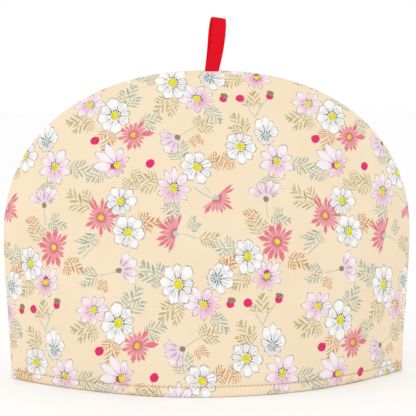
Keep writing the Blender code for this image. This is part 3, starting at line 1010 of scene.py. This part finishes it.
# %% Print group
def nearest_motif(tree, cloth, table, middle=0.0):
    """The place in the frame of whichever motif is nearest, as x, y and kind.

    Distances are counted in motif sizes from a point this far along each motif. The turning is left
    until the motif has been chosen."""
    place, closest, facing = None, None, None
    for motif in table:
        turn = math.radians(motif.turn)
        scale = 1 / motif.size
        half = (REPEAT[0] / 2 * scale, REPEAT[1] / 2 * scale, 10.0)
        shifted = vector_calc(tree, "MULTIPLY_ADD", cloth, (scale, scale, 0.0),
                              (-motif.u * scale, -motif.v * scale, motif.kind))
        own = vector_calc(tree, "WRAP", shifted, half, tuple(-side for side in half))
        aim = (middle * math.cos(turn), middle * math.sin(turn), motif.kind)
        far = vector_calc(tree, "DISTANCE", own, aim)
        own_facing = (math.cos(turn), math.sin(turn), 1 / motif.squash)
        if place is None:
            place, closest, facing = own, far, own_facing
            continue
        nearer = calc(tree, "LESS_THAN", far, closest)
        closest = calc(tree, "MINIMUM", far, closest)
        place = mix_vector(tree, nearer, place, own)
        facing = mix_vector(tree, nearer, facing, own_facing)
    forward = vector_calc(tree, "MULTIPLY", facing, (1.0, 1.0, 0.0))
    sideways = vector_calc(tree, "CROSS_PRODUCT", (0.0, 0.0, 1.0), forward)
    widening = vector_calc(tree, "DOT_PRODUCT", facing, (0.0, 0.0, 1.0))
    kind = vector_calc(tree, "DOT_PRODUCT", place, (0.0, 0.0, 1.0))
    across = calc(tree, "MULTIPLY", vector_calc(tree, "DOT_PRODUCT", place, sideways), widening)
    joined = tree.nodes.new("ShaderNodeCombineXYZ")
    plug(tree, joined.inputs, (vector_calc(tree, "DOT_PRODUCT", place, forward), across, kind))
    return joined.outputs[0]


INK = paint(112, 108, 104)


def add_layer(tree, below, drawn):
    return mix_colour(tree, drawn["Mask"], below, drawn["Colour"])


def share_of(tree, kind, lowest):
    """1 where the kind's whole number is the given one, and 0 elsewhere."""
    return calc(tree, "COMPARE", kind, lowest + 0.5, 0.49999)


def add_cosmos(tree, below, cloth, table):
    """Broad petals, white or flushed with pink, with a yellow eye, or a green one from behind."""
    place = nearest_motif(tree, cloth, table)
    kind = polar(tree, place)[2]
    fraction = calc(tree, "FRACT", kind)
    from_behind = share_of(tree, kind, BACK)
    half = share_of(tree, kind, HALF)
    pink = calc(tree, "ADD", share_of(tree, kind, PINK), half)
    petal = mix_colour(tree, pink, paint(246, 246, 246), paint(245, 236, 243))
    petals = use_group(
        tree, flower_group, place=place, teeth=0.03, uneven=0.22,
        notch=calc(tree, "MULTIPLY_ADD", pink, 0.1, 0.52), blunt=calc(tree, "MULTIPLY_ADD", pink, -1.4, 4.0),
        petals=calc(tree, "ROUND", calc(tree, "MULTIPLY_ADD", fraction, 4.0, 7.0)),
        off_centre=calc(tree, "MULTIPLY_ADD", half, 0.45, calc(tree, "MULTIPLY", from_behind, 0.3)),
        ink_width=0.058, ink_amount=0.85, streaks=0.6, petal=petal,
        flush=mix_colour(tree, pink, paint(214, 208, 220), paint(232, 110, 164)),
        flush_amount=calc(tree, "MULTIPLY_ADD", calc(tree, "MULTIPLY", pink, fraction), 1.35, 0.25),
        flush_side=0.5,
        ink=mix_colour(tree, pink, INK, paint(128, 116, 120)),
        streak=mix_colour(tree, pink, paint(138, 134, 140), paint(208, 140, 186)))
    below = add_layer(tree, below, petals)
    # A few pink flowers have a crimson heart beside the eye
    heart = calc(tree, "SUBTRACT", 0.2, vector_calc(tree, "DISTANCE", vector_calc(
        tree, "MULTIPLY", place, (1.0, 1.0, 0.0)), (0.15, 0.12, 0.0)))
    deep_pink = calc(tree, "MULTIPLY", pink, calc(tree, "GREATER_THAN", fraction, 0.7))
    has_heart = calc(tree, "MAXIMUM", half, deep_pink)
    heart = calc(tree, "MULTIPLY", fade(tree, heart, 0.0, 0.05), has_heart)
    below = mix_colour(tree, heart, below, paint(204, 54, 116))
    eye = use_group(tree, eye_group, place=place, size=calc(tree, "MULTIPLY_ADD", pink, -0.04, 0.24))
    green = use_group(tree, back_eye_group, place=place)
    colour = mix_colour(tree, from_behind, eye["Colour"], green["Colour"])
    front_mask = calc(tree, "MULTIPLY", eye["Mask"], calc(tree, "SUBTRACT", 1.0, from_behind))
    back_mask = calc(tree, "MULTIPLY", green["Mask"], from_behind)
    return mix_colour(tree, calc(tree, "ADD", front_mask, back_mask), below, colour)


def add_coral(tree, below, cloth, table, spread):
    """Narrow fringed petals in coral; the side views have no eye."""
    place = nearest_motif(tree, cloth, table)
    fraction = calc(tree, "FRACT", polar(tree, place)[2])
    full = spread > math.pi
    count = calc(tree, "ROUND", calc(tree, "MULTIPLY_ADD", fraction, 9.0, 11.0 if full else 17.0))
    drawn = use_group(tree, flower_group, place=place, petals=count, notch=0.56, blunt=3.0, teeth=0.06,
                      uneven=0.42, spread=spread, ink_width=0.05, ink_amount=0.6, streaks=0.8,
                      petal=paint(226, 124, 142), flush=paint(206, 78, 108), ink=paint(240, 186, 180),
                      streak=paint(246, 204, 200), flush_amount=1.3)
    below = add_layer(tree, below, drawn)
    if full:
        below = add_layer(tree, below, use_group(tree, eye_group, place=place, size=0.16, dots=0.0))
    return below


def add_pale_side(tree, below, cloth, table):
    """Pale flowers seen from the side: a fan of petals that opens away from the cup."""
    place = nearest_motif(tree, cloth, table, middle=0.4)
    drawn = use_group(tree, flower_group, place=place, petals=12.0, notch=0.4, blunt=3.5, teeth=0.04,
                      uneven=0.25, spread=1.2, ink_width=0.05, ink_amount=0.8, streaks=0.8,
                      petal=paint(246, 240, 244), flush=paint(230, 130, 180), ink=paint(150, 138, 142),
                      streak=paint(214, 150, 194), flush_amount=1.0)
    return add_layer(tree, below, drawn)


def build_print_group():
    tree, given, result = new_group(
        "Flower print", (("Cloth", "Vector", None),), (("Colour", "Color", None),))
    wobble = noise(tree, given["Cloth"], 0.55, 1.0)["Color"]
    cloth = vector_calc(tree, "MULTIPLY_ADD", wobble, (1.1, 1.1, 0.0), given["Cloth"])
    # Painted shade: the ground colour drifts in broad random clouds towards a darker, warmer tone, which
    # stands in for the uneven light over the cloth.
    painted_shade_clouds = noise(tree, given["Cloth"], 0.02, 2.0)["Fac"]
    colour = mix_colour(tree, painted_shade_clouds, paint(245, 229, 201), paint(240, 219, 187))
    place = nearest_motif(tree, cloth, SPRIGS, middle=0.5)
    colour = add_layer(tree, colour, use_group(tree, sprig_group, place=place))
    colour = add_coral(tree, colour, cloth, HEADS["coral"], 4.0)
    colour = add_coral(tree, colour, cloth, HEADS["coral side"], 1.7)
    colour = add_pale_side(tree, colour, cloth, HEADS["pale side"])
    colour = add_cosmos(tree, colour, cloth, HEADS["behind"])
    colour = add_cosmos(tree, colour, cloth, HEADS["front"])
    buds = use_group(tree, bud_group, place=nearest_motif(tree, cloth, HEADS["bud"]))
    colour = add_layer(tree, colour, buds)
    plug(tree, (result["Colour"],), (colour,))
    return tree


print_group = build_print_group()
print("print group", len(print_group.nodes), "nodes")

# %% [markdown]
# ## Weave
# Cotton, ribbon and thread are all woven or twisted, only at different scales, so one group serves
# them: two crossed waves of threads, made irregular by noise. It gives a height for the bump.

# %% Weave group
def build_weave_group():
    tree, given, result = new_group(
        "Weave", (("Cloth", "Vector", None), ("Across", "Float", 2800.0), ("Along", "Float", 2800.0),
                  ("Slub", "Float", 0.3)),
        (("Height", "Float", None), ("Slub", "Float", None)))
    split = tree.nodes.new("ShaderNodeSeparateXYZ")
    plug(tree, split.inputs, (given["Cloth"],))
    uneven = noise(tree, given["Cloth"], 900.0, 2.0)["Fac"]
    phase = calc(tree, "MULTIPLY", calc(tree, "SUBTRACT", uneven, 0.5), 4.0)
    waves = []
    for place, threads in zip(split.outputs, (given["Across"], given["Along"])):
        turns = calc(tree, "MULTIPLY", threads, 2 * math.pi)
        waves.append(calc(tree, "SINE", calc(tree, "MULTIPLY_ADD", place, turns, phase)))
    height = calc(tree, "MULTIPLY_ADD", calc(tree, "MULTIPLY", *waves), 0.5, 0.5)
    height = calc(tree, "MULTIPLY_ADD", calc(tree, "SUBTRACT", uneven, 0.5), given["Slub"], height)
    plug(tree, (result["Height"], result["Slub"]), (height, uneven))
    return tree


weave_group = build_weave_group()


def new_material(name, roughness, specular, sheen):
    """A material whose shader keeps its even values on its own sockets."""
    material = bpy.data.materials.new(name)
    material.use_nodes = True
    shader = material.node_tree.nodes["Principled BSDF"]
    shader.inputs["Roughness"].default_value = roughness
    shader.inputs["Specular IOR Level"].default_value = specular
    shader.inputs["Sheen Weight"].default_value = sheen
    shader.inputs["Sheen Roughness"].default_value = 0.5
    return material, material.node_tree, shader


def cloth_place(tree, scale=(1.0, 1.0, 1.0), shift=(0.0, 0.0, 0.0)):
    """The piece's cloth map, scaled and shifted by a Mapping node."""
    cloth_map = tree.nodes.new("ShaderNodeUVMap")
    cloth_map.uv_map = "cloth"
    mapping = tree.nodes.new("ShaderNodeMapping")
    plug(tree, mapping.inputs, (cloth_map.outputs[0], shift, (0.0, 0.0, 0.0), scale))
    return mapping.outputs[0]


def add_bump(tree, shader, height, strength, distance):
    bump = tree.nodes.new("ShaderNodeBump")
    bump.inputs["Strength"].default_value = strength
    bump.inputs["Distance"].default_value = distance
    plug(tree, (bump.inputs["Height"],), (height,))
    plug(tree, (shader.inputs["Normal"],), (bump.outputs[0],))


print("weave group ready")

# %% [markdown]
# ## Printed cotton and its lining
# The printed side, the underside of the hem and the turned-in hem show the flowers. Past the turned
# hem the lining is plain cream cotton. The cloth map tells them apart, because it counts down below
# the hem's edge, so one material serves the whole cover.

# %% Printed cotton
def make_cotton():
    material, tree, shader = new_material("printed cotton", 0.88, 0.18, 0.12)
    metres = cloth_place(tree)
    millimetres = cloth_place(tree, scale=(1000.0, 1000.0, 1.0),
                              shift=(-REPEAT_MIDDLE[0], -REPEAT_MIDDLE[1], 0.0))
    flowers = use_group(tree, print_group, cloth=millimetres)["Colour"]
    split = tree.nodes.new("ShaderNodeSeparateXYZ")
    plug(tree, split.inputs, (metres,))
    lining = calc(tree, "LESS_THAN", split.outputs[1], -(WALL + TURNED_HEM))
    colour = mix_colour(tree, lining, flowers, paint(244, 232, 210))
    weave = use_group(tree, weave_group, cloth=metres)
    shade = mix_colour(tree, calc(tree, "MULTIPLY", weave["Slub"], 0.05), colour, paint(200, 170, 130))
    plug(tree, (shader.inputs["Base Color"],), (shade,))
    plug(tree, (shader.inputs["Roughness"],), (calc(tree, "MULTIPLY_ADD", weave["Slub"], 0.1, 0.82),))
    add_bump(tree, shader, weave["Height"], 0.35, 0.00006)
    return material


def make_ribbon_material():
    material, tree, shader = new_material("red ribbon", 0.6, 0.1, 0.0)
    metres = cloth_place(tree)
    weave = use_group(tree, weave_group, cloth=metres, across=700.0, along=1500.0, slub=0.2)
    colour = mix_colour(tree, weave["Slub"], paint(232, 6, 34), paint(216, 2, 26))
    plug(tree, (shader.inputs["Base Color"],), (colour,))
    add_bump(tree, shader, weave["Height"], 0.5, 0.0001)
    return material


def make_thread_material():
    material, tree, shader = new_material("tan thread", 0.7, 0.25, 0.2)
    place = tree.nodes.new("ShaderNodeTexCoord").outputs["Object"]
    weave = use_group(tree, weave_group, cloth=place, across=1800.0, along=1800.0)
    colour = mix_colour(tree, weave["Slub"], paint(206, 160, 104), paint(188, 142, 92))
    plug(tree, (shader.inputs["Base Color"],), (colour,))
    add_bump(tree, shader, weave["Height"], 0.4, 0.00005)
    return material


cotton = make_cotton()
for cover in (front_cover, back_cover):
    cover.data.materials.append(cotton)
ribbon_loop.data.materials.append(make_ribbon_material())
thread = make_thread_material()
for stitches in (front_stitches, back_stitches):
    stitches.data.materials.append(thread)

# %% [markdown]
# ## What each soft piece is
# Each panel was cut flat and sewn, and the ribbon is a narrow strip of cloth.

print("two sewn panels and a ribbon strip")

# %% [markdown]
# ## Floor, light and finish
# A white room: a pale floor, an even white sky, and one big soft lamp at the upper left so that the
# padding shows.

# %% Stage
FLOOR_REACH = 6.0


def make_floor():
    mesh = bpy.data.meshes.new("floor")
    corners = [(x * FLOOR_REACH, y * FLOOR_REACH, 0) for x, y in ((-1, -1), (1, -1), (1, 1), (-1, 1))]
    mesh.from_pydata(corners, [], [(0, 1, 2, 3)])
    floor = bpy.data.objects.new("floor", mesh)
    bpy.context.scene.collection.objects.link(floor)
    material, _, shader = new_material("white floor", 0.9, 0.1, 0.0)
    shader.inputs["Base Color"].default_value = (0.98, 0.98, 0.98, 1)
    mesh.materials.append(material)


def add_lamp(name, place, aim, size, power):
    lamp = bpy.data.objects.new(name, bpy.data.lights.new(name, "AREA"))
    bpy.context.scene.collection.objects.link(lamp)
    lamp.data.size = size
    lamp.data.energy = power
    lamp.location = place
    lamp.rotation_euler = (Vector(aim) - Vector(place)).to_track_quat("-Z", "Y").to_euler()


make_floor()
world = bpy.context.scene.world or bpy.data.worlds.new("world")
bpy.context.scene.world = world
world.use_nodes = True
sky = next(node for node in world.node_tree.nodes if node.type == "BACKGROUND")
sky.inputs["Color"].default_value = (1, 1, 1, 1)
sky.inputs["Strength"].default_value = 1.0
add_lamp("soft lamp", (-0.9, -1.3, 1.3), (0, 0, 0.1), 1.2, 3.0)
bpy.context.scene.view_settings.view_transform = "Standard"
print("stage set")
